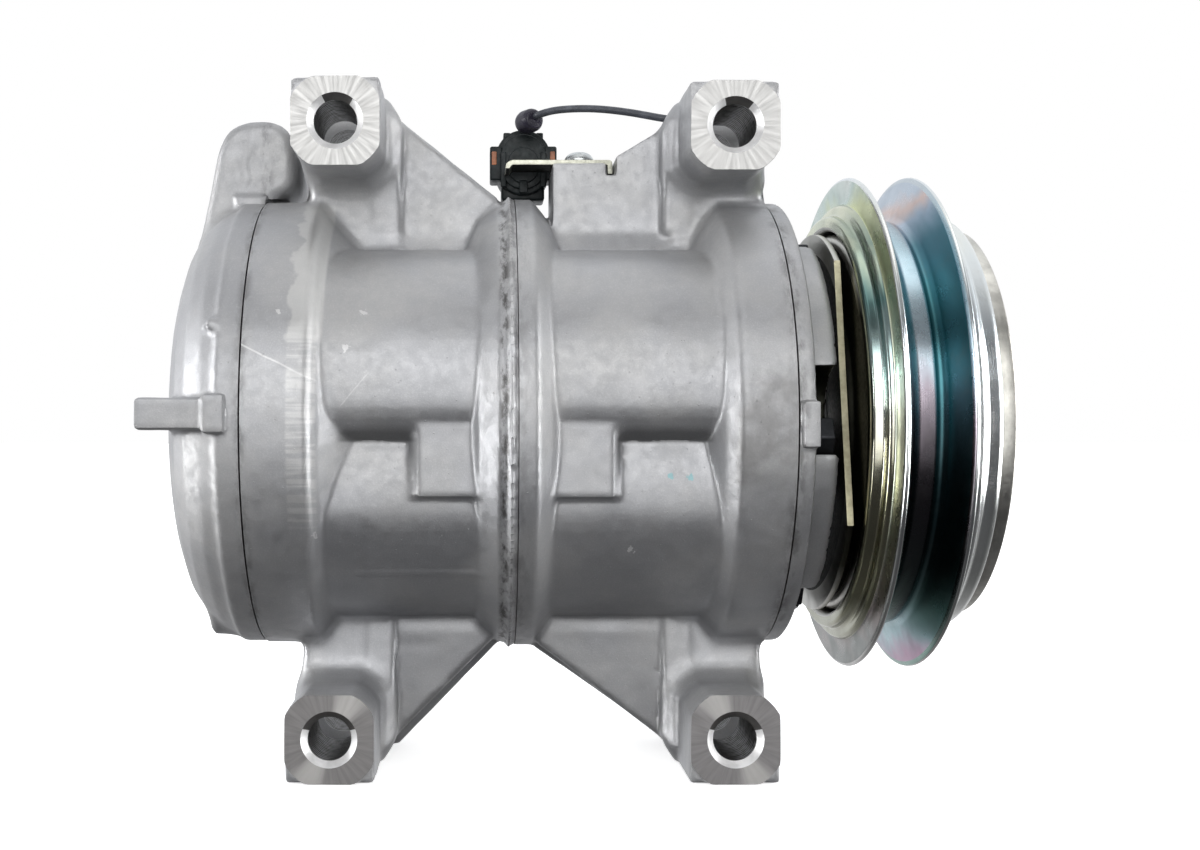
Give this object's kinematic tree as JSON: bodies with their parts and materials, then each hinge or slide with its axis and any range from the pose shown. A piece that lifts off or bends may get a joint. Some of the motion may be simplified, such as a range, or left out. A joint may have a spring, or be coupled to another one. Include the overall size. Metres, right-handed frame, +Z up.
{
  "type": "automotive ac compressor",
  "caption": "Swash-plate air conditioning compressor with a lobed cast body, four mounting ears, a magnetic clutch and a single-groove V-belt pulley.",
  "frame": {"origin": "centre of the flat end of the drive shaft, on the shaft axis", "axes": "+X along the shaft, out of the pulley end; +Z up, towards the ears that carry the connector; the machined ear faces point to -Y"},
  "size_m": [0.219, 0.135, 0.1783],
  "materials": {
    "cast": "sand cast, matte grey",
    "ground_steel": "ground steel",
    "dark_steel": "phosphated dark steel",
    "zinc": "yellow iridescent zinc plate on pressed steel",
    "bright_steel": "bright zinc plated steel",
    "bronze": "sintered bronze facing",
    "piston": "turned aluminium",
    "rubber": "black nitrile rubber",
    "plastic": "black glass-filled nylon",
    "wire": "dark grey wire sheath",
    "gasket": "rubber coated steel gasket"
  },
  "bodies": {
    "housing": {"rear_cylinder_block": "cast", "front_cylinder_block": "cast", "centre_o_ring": "rubber", "rear_suction_reeds": "ground_steel", "rear_valve_plate": "ground_steel", "rear_discharge_reeds": "ground_steel", "rear_head_gasket": "gasket", "rear_head_o_ring": "rubber", "front_suction_reeds": "ground_steel", "front_valve_plate": "ground_steel", "front_discharge_reeds": "ground_steel", "front_head_gasket": "gasket", "front_head_o_ring": "rubber", "rear_head": "cast", "front_head": "cast", "through_bolt_1": "dark_steel", "through_bolt_2": "dark_steel", "through_bolt_3": "dark_steel", "through_bolt_4": "dark_steel", "through_bolt_5": "dark_steel", "rear_thrust_bearing": "ground_steel", "rear_needle_bearing": "ground_steel", "front_thrust_bearing": "ground_steel", "front_needle_bearing": "ground_steel", "shaft_seal": "rubber", "coil_shell": "zinc", "coil_winding": "plastic", "coil_snap_ring": "dark_steel", "bearing_inner_race": "ground_steel", "connector_bracket": "bright_steel", "bracket_screw": "bright_steel", "plug_housing": "plastic", "wire_boot": "rubber", "coil_lead": "wire", "relief_valve": "bronze"},
    "shaft": {"drive_shaft": "ground_steel", "swash_hub": "dark_steel", "clutch_hub": "bright_steel", "hub_nut": "dark_steel", "leaf_spring": "bright_steel"},
    "swash_disc": {"swash_disc": "bronze"},
    "armature": {"armature_plate": "bright_steel"},
    "pulley": {"pulley": "zinc", "bearing_outer_race": "ground_steel"},
    "bearing_cage": {"bearing_balls_and_cage": "ground_steel"},
    "front_shoe_1": {"front_shoe_1": "ground_steel"},
    "rear_shoe_1": {"rear_shoe_1": "ground_steel"},
    "piston_1": {"piston_1": "piston"},
    "front_shoe_2": {"front_shoe_2": "ground_steel"},
    "rear_shoe_2": {"rear_shoe_2": "ground_steel"},
    "piston_2": {"piston_2": "piston"},
    "front_shoe_3": {"front_shoe_3": "ground_steel"},
    "rear_shoe_3": {"rear_shoe_3": "ground_steel"},
    "piston_3": {"piston_3": "piston"},
    "front_shoe_4": {"front_shoe_4": "ground_steel"},
    "rear_shoe_4": {"rear_shoe_4": "ground_steel"},
    "piston_4": {"piston_4": "piston"},
    "front_shoe_5": {"front_shoe_5": "ground_steel"},
    "rear_shoe_5": {"rear_shoe_5": "ground_steel"},
    "piston_5": {"piston_5": "piston"}
  },
  "joints": [
    {"name": "shaft_spin", "type": "hinge", "parent": "housing", "child": "shaft", "pos_m": [-0.123, 0, 0], "axis": [1, 0, 0], "continuous": true},
    {"name": "pulley_spin", "type": "hinge", "parent": "housing", "child": "pulley", "pos_m": [-0.023, 0, 0], "axis": [1, 0, 0], "continuous": true},
    {"name": "bearing_cage_spin", "type": "hinge", "parent": "housing", "child": "bearing_cage", "pos_m": [-0.024, 0, 0], "axis": [1, 0, 0], "continuous": true},
    {"name": "armature_slide", "type": "slide", "parent": "shaft", "child": "armature", "axis": [-1, 0, 0], "range_m": [0, 0.00045], "stiffness_N_per_m": 20000, "deforming": ["leaf_spring"]},
    {"name": "disc_turnback", "type": "hinge", "parent": "shaft", "child": "swash_disc", "pos_m": [-0.123, 0, 0], "axis": [0.9559, -0.2517, 0.1513], "continuous": true},
    {"name": "front_shoe_1_glide", "type": "hinge", "parent": "swash_disc", "child": "front_shoe_1", "pos_m": [-0.13337, -0.02892, 0.01738], "axis": [0.9559, -0.2517, 0.1513], "continuous": true},
    {"name": "rear_shoe_1_glide", "type": "hinge", "parent": "front_shoe_1", "child": "rear_shoe_1", "pos_m": [-0.1336, -0.02957, 0.01777], "axis": [0.9559, -0.2517, 0.1513], "continuous": true},
    {"name": "piston_1_swivel", "type": "hinge", "parent": "rear_shoe_1", "child": "piston_1", "pos_m": [-0.1336, -0.02957, 0.01777], "axis": [1, 0, 0], "continuous": true},
    {"name": "front_shoe_2_glide", "type": "hinge", "parent": "swash_disc", "child": "front_shoe_2", "pos_m": [-0.1262, 0.00835, 0.03414], "axis": [0.9559, -0.2517, 0.1513], "continuous": true},
    {"name": "rear_shoe_2_glide", "type": "hinge", "parent": "front_shoe_2", "child": "rear_shoe_2", "pos_m": [-0.12628, 0.00776, 0.03362], "axis": [0.9559, -0.2517, 0.1513], "continuous": true},
    {"name": "piston_2_swivel", "type": "hinge", "parent": "rear_shoe_2", "child": "piston_2", "pos_m": [-0.12628, 0.00776, 0.03362], "axis": [1, 0, 0], "continuous": true},
    {"name": "front_shoe_3_glide", "type": "hinge", "parent": "swash_disc", "child": "front_shoe_3", "pos_m": [-0.11461, 0.03408, 0.00373], "axis": [0.9559, -0.2517, 0.1513], "continuous": true},
    {"name": "rear_shoe_3_glide", "type": "hinge", "parent": "front_shoe_3", "child": "rear_shoe_3", "pos_m": [-0.11442, 0.03437, 0.00301], "axis": [0.9559, -0.2517, 0.1513], "continuous": true},
    {"name": "piston_3_swivel", "type": "hinge", "parent": "rear_shoe_3", "child": "piston_3", "pos_m": [-0.11442, 0.03437, 0.00301], "axis": [1, 0, 0], "continuous": true},
    {"name": "front_shoe_4_glide", "type": "hinge", "parent": "swash_disc", "child": "front_shoe_4", "pos_m": [-0.11461, 0.01271, -0.03184], "axis": [0.9559, -0.2517, 0.1513], "continuous": true},
    {"name": "rear_shoe_4_glide", "type": "hinge", "parent": "front_shoe_4", "child": "rear_shoe_4", "pos_m": [-0.11442, 0.01348, -0.03176], "axis": [0.9559, -0.2517, 0.1513], "continuous": true},
    {"name": "piston_4_swivel", "type": "hinge", "parent": "rear_shoe_4", "child": "piston_4", "pos_m": [-0.11442, 0.01348, -0.03176], "axis": [1, 0, 0], "continuous": true},
    {"name": "front_shoe_5_glide", "type": "hinge", "parent": "swash_disc", "child": "front_shoe_5", "pos_m": [-0.1262, -0.02623, -0.0234], "axis": [0.9559, -0.2517, 0.1513], "continuous": true},
    {"name": "rear_shoe_5_glide", "type": "hinge", "parent": "front_shoe_5", "child": "rear_shoe_5", "pos_m": [-0.12628, -0.02604, -0.02263], "axis": [0.9559, -0.2517, 0.1513], "continuous": true},
    {"name": "piston_5_swivel", "type": "hinge", "parent": "rear_shoe_5", "child": "piston_5", "pos_m": [-0.12628, -0.02604, -0.02263], "axis": [1, 0, 0], "continuous": true}
  ],
  "couplings": [
    {"joint": "bearing_cage_spin", "follows": "pulley_spin", "ratio": 0.5525},
    {"joint": "disc_turnback", "follows": "shaft_spin", "ratio": -1},
    {"joint": "front_shoe_1_glide", "follows": "shaft_spin", "ratio": 2},
    {"joint": "rear_shoe_1_glide", "follows": "shaft_spin", "ratio": -1},
    {"joint": "piston_1_swivel", "follows": "shaft_spin", "ratio": -1},
    {"joint": "front_shoe_2_glide", "follows": "shaft_spin", "ratio": 2},
    {"joint": "rear_shoe_2_glide", "follows": "shaft_spin", "ratio": -1},
    {"joint": "piston_2_swivel", "follows": "shaft_spin", "ratio": -1},
    {"joint": "front_shoe_3_glide", "follows": "shaft_spin", "ratio": 2},
    {"joint": "rear_shoe_3_glide", "follows": "shaft_spin", "ratio": -1},
    {"joint": "piston_3_swivel", "follows": "shaft_spin", "ratio": -1},
    {"joint": "front_shoe_4_glide", "follows": "shaft_spin", "ratio": 2},
    {"joint": "rear_shoe_4_glide", "follows": "shaft_spin", "ratio": -1},
    {"joint": "piston_4_swivel", "follows": "shaft_spin", "ratio": -1},
    {"joint": "front_shoe_5_glide", "follows": "shaft_spin", "ratio": 2},
    {"joint": "rear_shoe_5_glide", "follows": "shaft_spin", "ratio": -1},
    {"joint": "piston_5_swivel", "follows": "shaft_spin", "ratio": -1}
  ]
}
